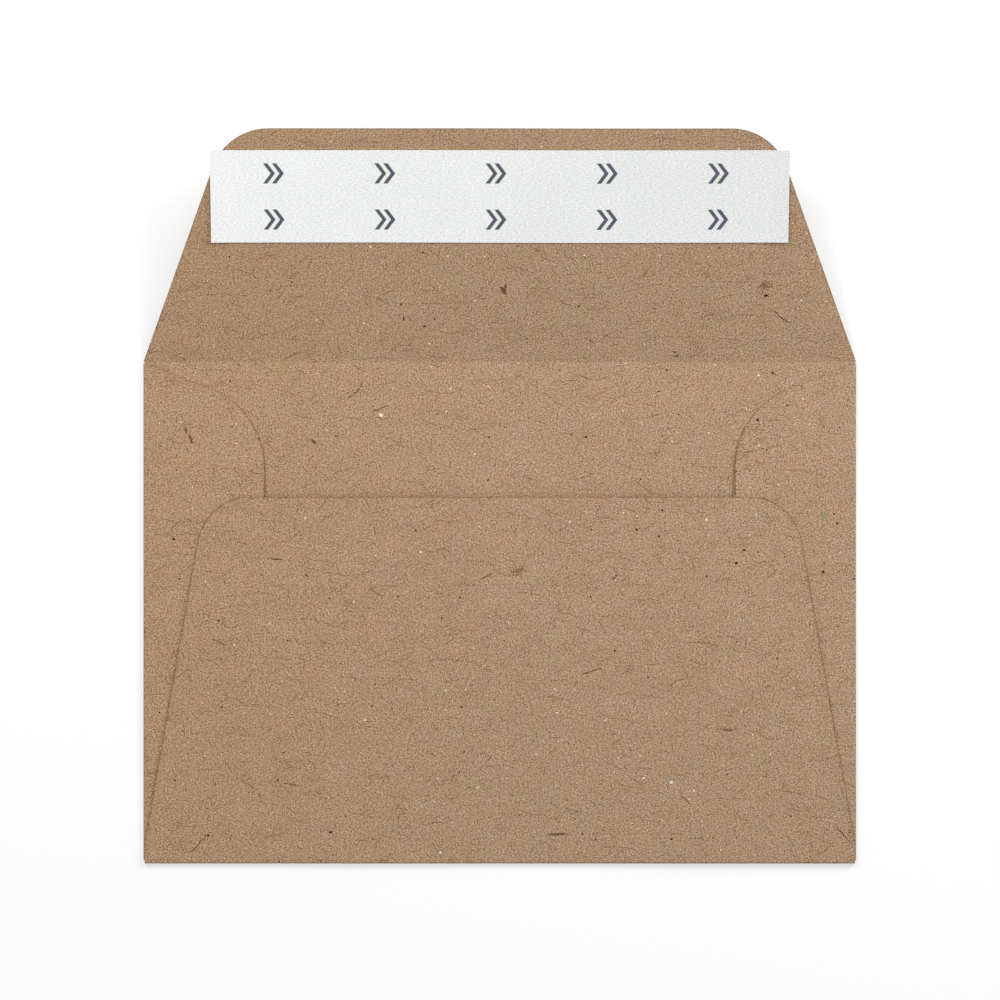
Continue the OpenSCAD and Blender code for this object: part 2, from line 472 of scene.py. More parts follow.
@dataclass(frozen=True)
class KraftPaper:
    """Recycled kraft paper: fine grain, wavering dark fibres, and dark, pale and reddish bits."""

    # The sheet's colour, and those of its dark and its pale fibres
    base: Colour = srgb(176, 145.4, 117.8)
    dark: Colour = srgb(98, 62, 24)
    light: Colour = srgb(214, 190, 162)
    # The grain: its hairs' headings in degrees, each with a shift that sets it apart from the others,
    # the hairs in a millimetre along and across, their strength, and how each channel follows
    headings: tuple[Pair, ...] = ((12, 0.0), (-38, 37.0), (64, 91.0))
    grain: Pair = (2.4, 6.0)
    contrast: float = 1.66
    grey: Triple = (0.8, 1.0, 1.25)
    # Stains: how many in a millimetre, and how far each channel strays
    stains: float = 0.2
    tints: Triple = (0.12, 0.08, 0.24)
    # Felt and clouds, by size and strength, and how each channel follows these and the darkened cut edges,
    # partly burnish and partly painted edge shade
    felt_size: float = 1.5
    felt_share: float = 0.33
    cloud_size: float = 0.13
    cloud_stretch: Triple = (0.6, 1.3, 0.0)
    cloud_share: float = 0.225
    cool: Triple = (0.8, 1.0, 1.45)
    burnish_and_shade: float = 0.54
    # How each channel changes from one place along X to another, where the sheet is yellower
    drift: Triple = (0.005, -0.015, -0.07)
    drift_over: Pair = (15.0, -75.0)
    # How far the outer face's pattern lies from the inner face's
    other_face: Triple = (311.0, 173.0, 0.0)
    fibres: tuple[FibreLayer, ...] = (
        FibreLayer((17.0, 4.0), 2, 14, (5, 13), 0.13, 0.015, 2.4, 0.5, 0.56, 3.1),
        FibreLayer((8.0, 4.5), -12, 34, (2.5, 6.5), 0.12, 0.06, 1.5, 0.5, 0.62, 17.7),
        FibreLayer((5.5, 4.0), 28, 70, (1.5, 4), 0.12, 0.1, 1.0, 0.5, 0.7, 41.3),
        FibreLayer((3.4, 2.8), 75, 80, (0.8, 2.2), 0.12, 0.14, 0.5, 0.35, 0.75, 63.9),
        FibreLayer((34.0, 26.0), -8, 60, (3, 8), 0.17, 0.06, 1.6, 0.6, 1.2, 87.2),
    )
    # The features in a millimetre of what bends the fibres and of what makes them waver
    swaying: float = 0.21
    quivering: float = 1.1
    # Long curled fibres: how many in a millimetre along X and Y, and their width and strength
    curls: Pair = (0.3, 0.75)
    curl_w: float = 0.03
    dark_curls: float = 0.3
    pale_curls: float = 0.45
    # How strongly the grain breaks up a mark, and the features in a millimetre of what frays it
    marks_broken: float = 0.35
    fraying: float = 2.6
    # The surface: features of its relief in a millimetre, how deep it is, and how dull the paper is
    relief: float = 3.1
    relief_depth: float = 0.03
    roughness: float = 0.9
    gloss: float = 0.15
    # Dark specks and pale crumbs, a coarse layer and a fine one of each
    specks: tuple[SpeckLayer, SpeckLayer] = (
        SpeckLayer(14.0, (0.2, 0.32), 0.22, 5.5),
        SpeckLayer(5.0, (0.13, 0.23), 0.16, 29.4),
    )
    crumbs: tuple[SpeckLayer, SpeckLayer] = (
        SpeckLayer(15.0, (0.16, 0.27), 0.25, 11.8),
        SpeckLayer(5.0, (0.1, 0.2), 0.2, 53.1),
    )
    marks: tuple[Mark, ...] = (
        Mark(Ply.TOP_FLAP, (503.5, 290.5), (2.5, 1.0), -55, Tone.BARK, 1.2, 0.95),
        Mark(Ply.TOP_FLAP, (505.5, 287), (1.5, 0.6), 80, Tone.BARK, 1.0),
        Mark(Ply.TOP_FLAP, (674, 352.5), (0.9, 0.5), -35, Tone.BARK, 1.0),
        Mark(Ply.TOP_FLAP, (676.5, 356.5), (1.3, 0.5), 5, Tone.BARK, 1.0),
        Mark(Ply.TOP_FLAP, (434, 304), (6.6, 0.35), -2, Tone.RUST, 0.9, 0.45),
        Mark(Ply.TOP_FLAP, (291.5, 356), (5.0, 0.4), 26, Tone.RUST, 1.0, 0.7),
        Mark(Ply.TOP_FLAP, (765, 286), (2.8, 1.7), 10, Tone.RUST, 3.4),
        Mark(Ply.TOP_FLAP, (766, 296), (1.1, 0.75), 0, Tone.SOOT, 1.5, 1.0),
        Mark(Ply.FRONT_PANEL, (286, 366), (3.0, 1.2), 0, Tone.OCHRE, 2.6, 0.3),
        Mark(Ply.FRONT_PANEL, (314, 442), (1.7, 0.7), -38, Tone.BARK),
        Mark(Ply.FRONT_PANEL, (381, 415), (1.1, 0.7), -50, Tone.CHALK, 0.7, 1.0),
        Mark(Ply.SIDE_FLAP, (191, 439), (2.7, 0.7), -68, Tone.BARK),
        Mark(Ply.SIDE_FLAP, (186, 430), (1.5, 0.5), -80, Tone.BARK),
        Mark(Ply.SIDE_FLAP, (757.5, 420), (0.8, 0.65), 0, Tone.SOOT, 0.8, 1.0),
        Mark(Ply.SIDE_FLAP, (174, 539), (0.7, 0.65), 0, Tone.SOOT, 0.6, 1.0),
        Mark(Ply.SIDE_FLAP, (823, 572), (0.75, 0.6), -30, Tone.SOOT, 0.6, 1.0),
        Mark(Ply.SIDE_FLAP, (824, 515), (2.4, 2.0), 30, Tone.MOSS, 2.8, 0.4),
        Mark(Ply.BOTTOM_FLAP, (518, 571), (2.9, 1.5), 20, Tone.BARK, 4.6, 0.62),
        Mark(Ply.BOTTOM_FLAP, (487, 576), (3.6, 0.4), 26, Tone.BARK, 1.0),
        Mark(Ply.BOTTOM_FLAP, (614, 578), (1.1, 0.8), 30, Tone.BARK, 2.6, 0.7),
        Mark(Ply.BOTTOM_FLAP, (736, 563), (0.75, 0.6), 0, Tone.SOOT, 0.6, 1.0),
        Mark(Ply.BOTTOM_FLAP, (744, 550), (0.75, 0.5), 0, Tone.SOOT, 0.6, 1.0),
        Mark(Ply.BOTTOM_FLAP, (768, 521), (2.2, 1.5), -50, Tone.OCHRE, 2.4, 0.35),
        Mark(Ply.BOTTOM_FLAP, (557, 834), (4.6, 0.65), 3, Tone.BARK, 1.2),
        Mark(Ply.BOTTOM_FLAP, (276, 559), (3.3, 0.4), -4, Tone.BARK, 1.0, 0.95),
        Mark(Ply.BOTTOM_FLAP, (628, 670), (2.0, 1.6), 0, Tone.BARK, 3.5, 0.3),
        Mark(Ply.BOTTOM_FLAP, (651, 664.5), (2.4, 0.35), 5, Tone.BARK, 0.8, 0.5),
        Mark(Ply.BOTTOM_FLAP, (648, 677), (0.65, 0.5), 0, Tone.BARK, 0.8, 1.0),
        Mark(Ply.BOTTOM_FLAP, (645, 683), (4.2, 3.4), 0, Tone.ROSE, 3.0, 0.32),
        Mark(Ply.BOTTOM_FLAP, (671, 782), (0.9, 0.7), 0, Tone.CHALK, 0.5),
        Mark(Ply.BOTTOM_FLAP, (421, 552), (0.6, 0.6), 0, Tone.CHALK, 0.5),
    )

    def weave(self, graph: Graph, place: Wire) -> Wire:
        """The paper's felted grain: short light and dark hairs that cross each other.

        Args:
            graph: The material's graph.
            place: The place on the sheet, in millimetres.

        Returns:
            The grain, around 0.
        """
        total = 0.0
        for angle, shift in self.headings:
            turned = graph.turn(place, math.radians(angle))
            felted = graph.vector("MULTIPLY", turned, (*self.grain, 0.0))
            moved = graph.vector("ADD", felted, (shift, shift * HEADING_SLANT, 0.0))
            total = graph.noise(moved, 1.0, 1, 0.6) - 0.5 + total
        return total

    def threads(self, graph: Graph, place: Wire) -> tuple[Wire, Wire]:
        """Where the paper's fibres lie.

        Args:
            graph: The material's graph.
            place: The place on the sheet, in millimetres.

        Returns:
            The mask of all dark fibres and that of the pale hairs.
        """
        sways = graph.split(graph.noise(place, self.swaying, 2, 0.55, "Color"))
        quiver = graph.noise(place, self.quivering, 1)
        dark: Value = 0.0
        for i, layer in enumerate(self.fibres):
            dark = layer.mask(graph, place, sways[i % 3], quiver).most(dark)
        stretched = graph.vector("MULTIPLY", place, (*self.curls, 0.0))
        curls = graph.split(graph.noise(stretched, 1.0, 2, 0.5, "Color"))
        lines = [abs(curl - 0.5).ramp(self.curl_w, self.curl_w * 0.2) for curl in curls]
        dark = dark.most(lines[0] * sways[1].ramp(0.5, 0.7) * self.dark_curls)
        dark = dark.most(lines[1] * sways[2].ramp(0.5, 0.3) * self.dark_curls)
        return dark, lines[2] * quiver.ramp(0.5, 0.7) * self.pale_curls

    def material(self, form: EnvelopeForm, view: View) -> bpy.types.Material:
        """Makes the paper's material.

        Args:
            form: The envelope's form, which gives the marks' places on the flat sheet.
            view: The photograph's view, in which the marks are given.

        Returns:
            The material, laid out by the mesh's place on the flat sheet.
        """
        graph = Graph(bpy.data.materials.new("kraft"))
        stored = graph.attribute(SHEET_PLACE)
        along, _, side = graph.split(stored)
        outer = side.ramp(0.01, -0.01)
        place = graph.vector("ADD", stored, graph.scale(self.other_face, outer))
        # How near a cut edge a place lies: the mask of the burnish and of the painted edge shade
        edge = graph.out(graph.node("ShaderNodeAttribute", {"attribute_name": CUT_EDGE}), "Fac")
        ragged = graph.noise(place, self.fraying, 2)
        grain = self.weave(graph, place)
        felt = graph.noise(place, self.felt_size, 1) - 0.5
        stretched = graph.vector("MULTIPLY", place, self.cloud_stretch)
        cloud = graph.noise(stretched, self.cloud_size, 5, 0.68) - 0.5
        broken = grain.ramp(0.6, 0.0)
        dark, pale = self.threads(graph, place)

        colour = graph.tint(self.base, graph.noise(place, self.stains, 3, 0.5, "Color"), self.tints)
        colour = graph.shade(colour, cloud * self.cloud_share + felt * self.felt_share, self.cool)
        colour = graph.shade(colour, grain * self.contrast, self.grey)
        # Darkens the cut edges: partly die burnish, partly painted shade standing in for the thin shadow
        # lines beside the plies' edges
        colour = graph.shade(colour, edge * -self.burnish_and_shade, self.cool)
        colour = graph.shade(colour, along.ramp(*self.drift_over), self.drift)
        colour = graph.mix(pale, colour, self.light)
        colour = graph.mix((dark * broken).least(1.0), colour, self.dark)
        for layers, tone in ((self.specks, Tone.SOOT), (self.crumbs, Tone.CHALK)):
            coarse, fine = (layer.mask(graph, place, ragged) for layer in layers)
            colour = graph.mix(coarse.most(fine), colour, tone.value)
        for tone in Tone:
            bits: Value = 0.0
            for mark in (mark for mark in self.marks if mark.tone is tone):
                at = form.unfolded(mark.ply, view, mark.pixel)
                if mark.ply.value[1] is Face.OUTER:
                    at = tuple(a + b for a, b in zip(at, self.other_face))
                bits = mark.mask(graph, place, ragged, at).most(bits)
            if isinstance(bits, Wire):
                whole = broken * self.marks_broken + (1 - self.marks_broken)
                colour = graph.mix(bits * whole, colour, tone.value)
        return graph.surface(
            Base_Color=colour,
            Roughness=self.roughness,
            Specular_IOR_Level=self.gloss,
            Normal=graph.bump(graph.noise(place, self.relief, 1, 0.6), self.relief_depth),
        )


@dataclass(frozen=True)
class LinerPaper:
    """White siliconised release paper with a fine pebbled surface and a plain slate-grey print."""

    base: Colour = srgb(245, 247, 246)
    ink: Colour = srgb(86, 92, 106)
    # The surface: pebbles in a millimetre along X and Y, their strength, how the white changes with
    # each millimetre along X, clouds by size and strength, the relief's depth, and how it shines
    pebble: Pair = (1.7, 3.7)
    contrast: float = 0.52
    drift: float = -0.001
    cloud_size: float = 0.06
    cloud_share: float = 0.06
    relief_depth: float = 0.02
    roughness: float = 0.42
    gloss: float = 0.45
    # The print: its pitch along X and Y, and the arrowheads' height, distance, stroke, slant and edges
    pitch: Pair = (25.0, 10.5)
    chevron_h: float = 4.6
    chevron_gap: float = 2.0
    stroke: float = 1.0
    slant: float = 0.75
    soft: float = 0.05

    def chevrons(self, graph: Graph, place: Wire, middle: float) -> Wire:
        """Where the print lies: two rows of double arrowheads that show which way to peel.

        Args:
            graph: The material's graph.
            place: The place on the strip, in millimetres.
            middle: The height of the strip's middle line.

        Returns:
            The mask, from 0 to 1.
        """
        x, y, _ = graph.split(place)
        across = ((x / self.pitch[0] + 0.5).fract() - 0.5) * self.pitch[0]
        up = (((y - middle) / self.pitch[1]).fract() - 0.5) * self.pitch[1]
        tip = across + abs(up) * self.slant
        from_stroke = abs(abs(tip) - self.chevron_gap / 2) - self.stroke / 2
        from_end = abs(up) - self.chevron_h / 2
        return from_stroke.ramp(self.soft, -self.soft) * from_end.ramp(self.soft, -self.soft)

    def material(self, middle: float) -> bpy.types.Material:
        """Makes the liner's material, laid out by the mesh's place on the flat strip.

        Args:
            middle: The height of the strip's middle line.

        Returns:
            The material.
        """
        graph = Graph(bpy.data.materials.new("liner"))
        place = graph.attribute(SHEET_PLACE)
        pebbled = graph.vector("MULTIPLY", place, (*self.pebble, 0.0))
        peel = graph.noise(pebbled, 1.0, 1, 0.6)
        cloud = graph.noise(place, self.cloud_size, 2)
        along = graph.split(place)[0] * self.drift
        change = (peel - 0.5) * self.contrast + (cloud - 0.5) * self.cloud_share + along
        printed = graph.mix(self.chevrons(graph, place, middle), graph.shade(self.base, change), self.ink)
        return graph.surface(
            Base_Color=printed,
            Roughness=self.roughness,
            Specular_IOR_Level=self.gloss,
            Normal=graph.bump(peel, self.relief_depth),
        )


@dataclass(frozen=True)
class Film:
    """A thin film of glue or adhesive, mottled where it lies thicker."""

    name: str
    base: Colour
    roughness: float
    streaks: float = 0.8
    contrast: float = 0.25
    unevenness: float = 0.2
    relief_depth: float = 0.02

    def material(self) -> bpy.types.Material:
        """Makes the film's material.

        Returns:
            The material.
        """
        graph = Graph(bpy.data.materials.new(self.name))
        streak = graph.noise(graph.attribute(SHEET_PLACE), self.streaks, 2, 0.6)
        return graph.surface(
            Base_Color=graph.shade(self.base, (streak - 0.5) * self.contrast),
            Roughness=(streak - 0.5) * self.unevenness + self.roughness,
            Normal=graph.bump(streak, self.relief_depth),
        )


# Meshes


def placed(name: str, data: Any) -> bpy.types.Object:
    """A new object in the scene, with this mesh, light or camera."""
    made = bpy.data.objects.new(name, data)
    bpy.context.scene.collection.objects.link(made)
    return made


def store(mesh: bpy.types.Mesh, name: str, kind: str, domain: str, values: np.ndarray) -> None:
    """Stores values of one kind at the points or the edges of a mesh."""
    key = "vector" if kind == "FLOAT_VECTOR" else "value"
    mesh.attributes.new(name, kind, domain).data.foreach_set(key, values.ravel())


def dress(piece: bpy.types.Object, material: bpy.types.Material, node: str) -> bpy.types.Object:
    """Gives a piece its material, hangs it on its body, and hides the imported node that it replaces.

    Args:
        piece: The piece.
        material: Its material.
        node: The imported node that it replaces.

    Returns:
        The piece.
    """
    piece.data.materials.append(material)
    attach(piece, "root")
    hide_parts(node)
    return piece


@dataclass
class Sheet:
    """A thin sheet, collected as patches of its middle surface and then given its thickness.

    Each point has a place on the flat sheet, in millimetres, by which patches are joined. Two places
    are the same when they round to the same step.
    """

    thickness: float
    points: list[Triple] = field(default_factory=list)
    places: list[Pair] = field(default_factory=list)
    # How dark each point is beside a cut edge, as die burnish and painted edge shade
    edge_burnish_and_shade: list[float] = field(default_factory=list)
    quads: list[tuple[int, int, int, int]] = field(default_factory=list)
    known: dict[tuple[int, int], int] = field(default_factory=dict)
    steps_per_mm: int = 1000

    def _index(self, place: Pair, point: Triple, wear_and_shade: float) -> int:
        """Finds the point at a place, or adds it.

        Args:
            place: Its place on the flat sheet.
            point: Its place in space.
            wear_and_shade: How dark its cut edge makes it, as die burnish and painted edge shade.

        Returns:
            The point's number.
        """
        key = round(place[0] * self.steps_per_mm), round(place[1] * self.steps_per_mm)
        if key not in self.known:
            self.known[key] = len(self.points)
            self.points.append(point)
            self.places.append(place)
            self.edge_burnish_and_shade.append(wear_and_shade)
        return self.known[key]

    def add_patch(
        self,
        rows: Sequence[float],
        columns: Sequence[float],
        place: Callable[[float, float], Pair],
        point: Callable[[float, float], Triple],
        wear_and_shade: Callable[[float, float], float] = lambda row, column: 0.0,
    ) -> None:
        """Adds a grid of quads.

        Args:
            rows: One parameter of the grid's lines.
            columns: The other parameter.
            place: The place on the flat sheet of each pair of parameters.
            point: The place in space of each pair.
            wear_and_shade: How dark each pair is made beside a cut edge, as die burnish and painted edge
                shade, from 0 to 1.
        """
        index = [[self._index(place(r, c), point(r, c), wear_and_shade(r, c)) for c in columns] for r in rows]
        for upper, lower in zip(index, index[1:]):
            for i in range(len(columns) - 1):
                quad = (upper[i], upper[i + 1], lower[i + 1], lower[i])
                a, b, c, _ = (self.places[k] for k in quad)
                turn = (b[0] - a[0]) * (c[1] - b[1]) - (b[1] - a[1]) * (c[0] - b[0])
                self.quads.append(quad if turn > 0 else quad[::-1])

    def _normals(self, middle: np.ndarray) -> np.ndarray:
        """Works out which way each point grows as the sheet gets its thickness.

        Args:
            middle: The points of the middle surface.

        Returns:
            The normal at each point.
        """
        quads = np.array(self.quads)
        corner = middle[quads]
        face_normal = np.cross(corner[:, 2] - corner[:, 0], corner[:, 3] - corner[:, 1])
        normal = np.zeros_like(middle)
        for i in range(4):
            np.add.at(normal, quads[:, i], face_normal)
        return normal / np.linalg.norm(normal, axis=1)[:, None]

    def _cut_edges(self) -> list[tuple[int, int]]:
        """Finds the edges of a single quad, where the sheet is cut.

        Returns:
            The two points of each.
        """
        once: dict[tuple[int, int], None] = {}
        for quad in self.quads:
            for a, b in zip(quad, quad[1:] + quad[:1]):
                if (b, a) in once:
                    del once[(b, a)]
                else:
                    once[(a, b)] = None
        return list(once)

    def build(self, name: str) -> bpy.types.Object:
        """Makes the closed mesh: both faces of the sheet and the edge all round.

        Args:
            name: The object's name.

        Returns:
            The object, smooth over its faces and sharp along its cut edges.
        """
        middle = np.array(self.points, float)
        count = len(middle)
        sides = [side.value for side in Face]
        grown = self._normals(middle) * (self.thickness / 2)
        both = np.concatenate([middle + grown * side for side in sides])
        cut = self._cut_edges()
        faces = [*self.quads]
        faces += [tuple(k + count for k in reversed(quad)) for quad in self.quads]
        faces += [(b, a, a + count, b + count) for a, b in cut]

        mesh = bpy.data.meshes.new(name)
        mesh.from_pydata((both * MM).tolist(), [], faces)
        mesh.update()
        mesh.validate()
        flat = np.column_stack([np.tile(self.places, (2, 1)), np.repeat(sides, count)])
        store(mesh, SHEET_PLACE, "FLOAT_VECTOR", "POINT", flat.astype(np.float32))
        store(mesh, CUT_EDGE, "FLOAT", "POINT", np.tile(np.array(self.edge_burnish_and_shade, np.float32), 2))
        mesh.shade_smooth()
        ends = np.zeros(2 * len(mesh.edges), int)
        mesh.edges.foreach_get("vertices", ends)
        sharp = {frozenset((a + k, b + k)) for a, b in cut for k in (0, count)}
        flags = np.array([frozenset(pair) in sharp for pair in ends.reshape(-1, 2).tolist()])
        store(mesh, "sharp_edge", "BOOLEAN", "EDGE", flags)
        return placed(name, mesh)


def spaced(start: float, end: float, step: float) -> list[float]:
    """Even places from start to end, at most a step apart."""
    count = max(1, math.ceil(abs(end - start) / step))
    return [start + (end - start) * i / count for i in range(count + 1)]


def edged(start: float, end: float, step: float) -> list[float]:
    """Spaces out grid lines, with closer ones beside either end for what shows along an edge.

    Args:
        start: The first place.
        end: The last one.
        step: How far apart the lines are at most.

    Returns:
        The places.
    """
    near = (BURNISH_AND_SHADE_W, 3 * BURNISH_AND_SHADE_W)
    inner = spaced(start + 2 * near[1], end - 2 * near[1], step)
    return [start, *(start + v for v in near), *inner, *(end - v for v in reversed(near)), end]


def smooth(value: float, start: float, end: float) -> float:
    """A smooth step from 0 at start to 1 at end."""
    share = min(1.0, max(0.0, (value - start) / (end - start)))
    return share * share * (3 - 2 * share)


@dataclass(frozen=True)
class Tongue:
    """The outline of one flap, from its fold to its edge: tapering sides and rounded corners.

    Its foot and its full width are halves, from the middle line. Its angles are in degrees: that of
    its sides, that by which a corner's arc is as dark as the far edge, and the step along the arc. Its
    cut edges are darkened, partly as die burnish and partly as painted edge shade, less at the sides.
    """

    foot: float
    full: float
    depth: float
    shoulder: float
    angle: float
    radius: float
    side_wear_and_shade: float = 1.0
    wear_and_shade_to: float = 40.0
    arc_step: float = 5.0

    @property
    def slope(self) -> float:
        """How much a side runs in for each millimetre of height."""
        return math.tan(math.radians(self.angle))

    @property
    def tangent(self) -> float:
        """How far from a corner its arc begins, along either edge."""
        return self.radius / math.tan(math.radians(90 + self.angle) / 2)

    @property
    def arc_from(self) -> float:
        """The height at which a corner's arc begins."""
        return self.depth - self.tangent * math.cos(math.radians(self.angle))

    def side(self, height: float) -> float:
        """Half the width at a height, before the corners are rounded."""
        return min(self.foot, self.full - max(0.0, height - self.shoulder) * self.slope)

    def half(self, height: float) -> float:
        """Works out the flap's width.

        Args:
            height: A height above the fold.

        Returns:
            Half the width there.
        """
        if height <= self.arc_from:
            return self.side(height)
        rise = height - (self.depth - self.radius)
        return self.side(self.depth) - self.tangent + math.sqrt(max(0.0, self.radius**2 - rise**2))

    def wear_and_shade(self, height: float, x: float) -> float:
        """How dark a place is beside a cut edge, as die burnish and painted edge shade: more beside the far
        edge and the corners than at the sides.

        Args:
            height: The place's height above the fold.
            x: Its distance from the middle line, to either side.

        Returns:
            The darkening, from 1 at the far edge, and the sides' share at the sides, to 0 where the edge is
            far.
        """
        straight = (self.side(height) - abs(x)) * math.cos(math.radians(self.angle))
        from_x = abs(x) - (self.side(self.depth) - self.tangent)
        from_y = height - (self.depth - self.radius)
        nearest = min(straight, self.depth - height)
        turn = self.angle if straight < self.depth - height else 90.0
        if from_x > 0 and from_y > from_x * self.slope:
            nearest = min(nearest, self.radius - math.hypot(from_x, from_y))
            turn = math.degrees(math.atan2(from_y, from_x))
        share = self.side_wear_and_shade + (1 - self.side_wear_and_shade) * smooth(turn, self.angle, self.wear_and_shade_to)
        return share * min(1.0, max(0.0, 1 - nearest / BURNISH_AND_SHADE_W))

    def rows(self, step: float) -> list[float]:
        """Spaces out a grid's rows: even up to the rounded corners, then by even steps of their arcs.

        Args:
            step: How far apart the even rows are at most.

        Returns:
            Their heights above the fold.
        """
        taper_from = self.shoulder + (self.full - self.foot) / self.slope
        low = spaced(0, taper_from, step) if taper_from > 0 else [0.0]
        straight = low + spaced(low[-1], self.arc_from, step)[1:]
        turns = spaced(math.radians(self.angle), math.pi / 2, math.radians(self.arc_step))[1:]
        return straight + [self.depth - self.radius + self.radius * math.sin(t) for t in turns]


@dataclass(frozen=True)
class EnvelopeForm:
    """The folded sheet's form: the same driving sizes as the construction, and the paper's own spring.

    The plies of a real envelope are never quite flat: the whole stack ripples a little, the pocket's
    mouth stands open, and the unglued margins beside the seams lift.
    """

    body_w: float = 162.0
    body_h: float = 114.0
    paper_t: float = 0.15
    pocket_gap: float = 0.3
    glue_t: float = 0.05
    relief: float = 0.3
    top_fold_in: float = 0.3
    lean: float = 14.0

    # Each flap's depth, the angle of its sides, the radius of its corners, and how dark its sides' cut
    # edges are, as burnish and painted edge shade
    bottom_flap_h: float = 83.3
    bottom_flap_shoulder: float = 2.4
    bottom_flap_angle: float = 10.0
    bottom_flap_r: float = 12.0
    bottom_flap_wear_and_shade: float = 0.62
    side_flap_w: float = 27.5
    side_flap_angle: float = 21.0
    side_flap_r: float = 19.4
    side_flap_wear_and_shade: float = 0.6
    top_flap_h: float = 53.4
    top_flap_angle: float = 20.3
    top_flap_r: float = 13.5

    # How far apart the mesh's grid lines are, and how many steps a fold takes
    grid: float = 1.6
    bend_steps: int = 10
    open_bend_steps: int = 3

    # The paper's spring: how far each part moves, and from where to where it comes to do so. The bow
    # counts in from the bottom flap's sides and as a share of its height, the curl and the margins'
    # heads down from the mouth, their feet up from the fold, and what is up, up the envelope
    ripple: float = 0.09
    mouth_bow: float = 0.25
    bow_in: Pair = (7.0, 24.0)
    bow_up: float = 1.15
    mouth_curl: float = 0.2
    curl_h: float = 9.5
    margin_lift: float = 0.16
    margin_w: float = 1.9
    margin_foot: Pair = (3.0, 12.0)
    margin_head: Pair = (14.0, 4.0)
    side_lift: float = 0.1
    side_lift_up: Pair = (-45.0, 0.0)
    side_lift_w: float = 7.0
    side_sag: float = 0.18
    side_free_up: Pair = (28.0, 40.0)
    side_sag_in: Pair = (1.0, 14.0)
    flap_wave: float = 0.35
    flap_wave_by: float = 22.0
    flap_calm_by: float = 30.0

    @property
    def side_in(self) -> float:
        """Inner radius of the side folds."""
        return self.pocket_gap / 2

    @property
    def bottom_in(self) -> float:
        """Inner radius of the bottom fold."""
        return (self.pocket_gap + self.paper_t + self.glue_t) / 2

    @property
    def panel_half(self) -> float:
        """Half the width of the front panel's flat part."""
        return self.body_w / 2 - self.side_in - self.paper_t

    @property
    def panel_low(self) -> float:
        """Where the front panel's flat part begins, above the bottom fold."""
        return -self.body_h / 2 + self.bottom_in + self.paper_t

    @property
    def panel_high(self) -> float:
        """Where the front panel ends, at the top fold."""
        return self.body_h / 2

    @property
    def side_level(self) -> float:
        """Level of the side flaps' outer face, which the seam glue lies on."""
        return 2 * self.paper_t + self.pocket_gap

    @property
    def bottom_tongue(self) -> Tongue:
        """Works out the outline of the bottom flap, above its bend.

        Returns:
            The outline.
        """
        out = self.bottom_in + self.paper_t
        depth, shoulder = self.bottom_flap_h - out, self.bottom_flap_shoulder - out
        corner = (self.bottom_flap_angle, self.bottom_flap_r, self.bottom_flap_wear_and_shade)
        return Tongue(self.panel_half, self.body_w / 2, depth, shoulder, *corner)

    @property
    def side_tongue(self) -> Tongue:
        """Works out the outline of a side flap, inside its bend.

        Returns:
            The outline.
        """
        half = (self.panel_high - self.relief - (self.panel_low + self.relief)) / 2
        depth = self.side_flap_w - self.side_in - self.paper_t
        corner = (self.side_flap_angle, self.side_flap_r, self.side_flap_wear_and_shade)
        return Tongue(half, half, depth, 0.0, *corner)

    @property
    def top_tongue(self) -> Tongue:
        """Outline of the top flap, above its bend."""
        half = self.body_w / 2
        return Tongue(half, half, self.top_flap_h, 0.0, self.top_flap_angle, self.top_flap_r)

    def folded_over(self, inner: float) -> float:
        """The paper's length round a bend of this inner radius that is folded right over."""
        return (inner + self.paper_t / 2) * math.pi

    def unfolded(self, ply: Ply, view: View, pixel: Pair) -> Triple:
        """The place on the flat sheet of what a pixel of the photograph shows.

        Args:
            ply: The ply that the pixel shows.
            view: The photograph's view.
            pixel: The pixel.

        Returns:
            The place, in millimetres, with a third number that is 0.
        """
        x, y = view.place(pixel)
        if ply is Ply.BOTTOM_FLAP:
            y = self.panel_low - self.folded_over(self.bottom_in) + self.panel_low - y
        elif ply is Ply.SIDE_FLAP:
            fold_to = self.panel_half + self.folded_over(self.side_in)
            x = math.copysign(fold_to + self.panel_half - abs(x), x)
        elif ply is Ply.TOP_FLAP:
            lean = math.radians(self.lean)
            height = (y - self.panel_high) / math.cos(lean)
            x, y = view.place(pixel, height * math.sin(lean))
            height = (y - self.panel_high) / math.cos(lean)
            y = self.panel_high + (self.top_fold_in + self.paper_t / 2) * lean + height
        return x, y, 0.0

    def stack_lift(self, x: float, y: float) -> float:
        """How far the whole stack of plies stands off the floor at a place: three crossed waves."""
        wave = (
            math.sin(x / 17.0 + 0.7) * math.cos(y / 23.0 - 0.4)
            + 0.6 * math.sin(x / 29.0 - y / 13.0 + 2.1)
            + 0.4 * math.cos(x / 9.5 + y / 15.0)
        )
        return self.ripple * (2.0 + wave)

    def mouth_lift(self, x: float, height: float) -> float:
        """How far the bottom flap stands off its flat place.

        Args:
            x: A place along the flap.
            height: A height above its fold.

        Returns:
            The lift: the mouth's bow and curl, and the margins beside the seams.
        """
        tongue = self.bottom_tongue
        edge = tongue.side(height) - abs(x)
        bow = smooth(edge, *self.bow_in) * smooth(height, 0.0, tongue.depth * self.bow_up)
        curl = smooth(height, tongue.depth - self.curl_h, tongue.depth)
        head = smooth(tongue.depth - height, *self.margin_head)
        margin = (1 - smooth(edge, 0.0, self.margin_w)) * smooth(height, *self.margin_foot) * (1 - head)
        return self.mouth_bow * bow + self.mouth_curl * curl + self.margin_lift * margin

    def side_flap_lift(self, depth: float, y: float) -> float:
        """How far a side flap stands off its flat place.

        Its edge lifts under the bottom flap, and above it the flap sags onto the front panel.

        Args:
            depth: A distance from the flap's fold.
            y: A place up the envelope.

        Returns:
            The lift, negative where the flap sags.
        """
        reach = self.side_tongue.depth
        free = smooth(y, *self.side_free_up)
        lift = smooth(y, *self.side_lift_up) * smooth(depth, reach - self.side_lift_w, reach)
        return self.side_lift * lift * (1 - free) - self.side_sag * free * smooth(depth, *self.side_sag_in)

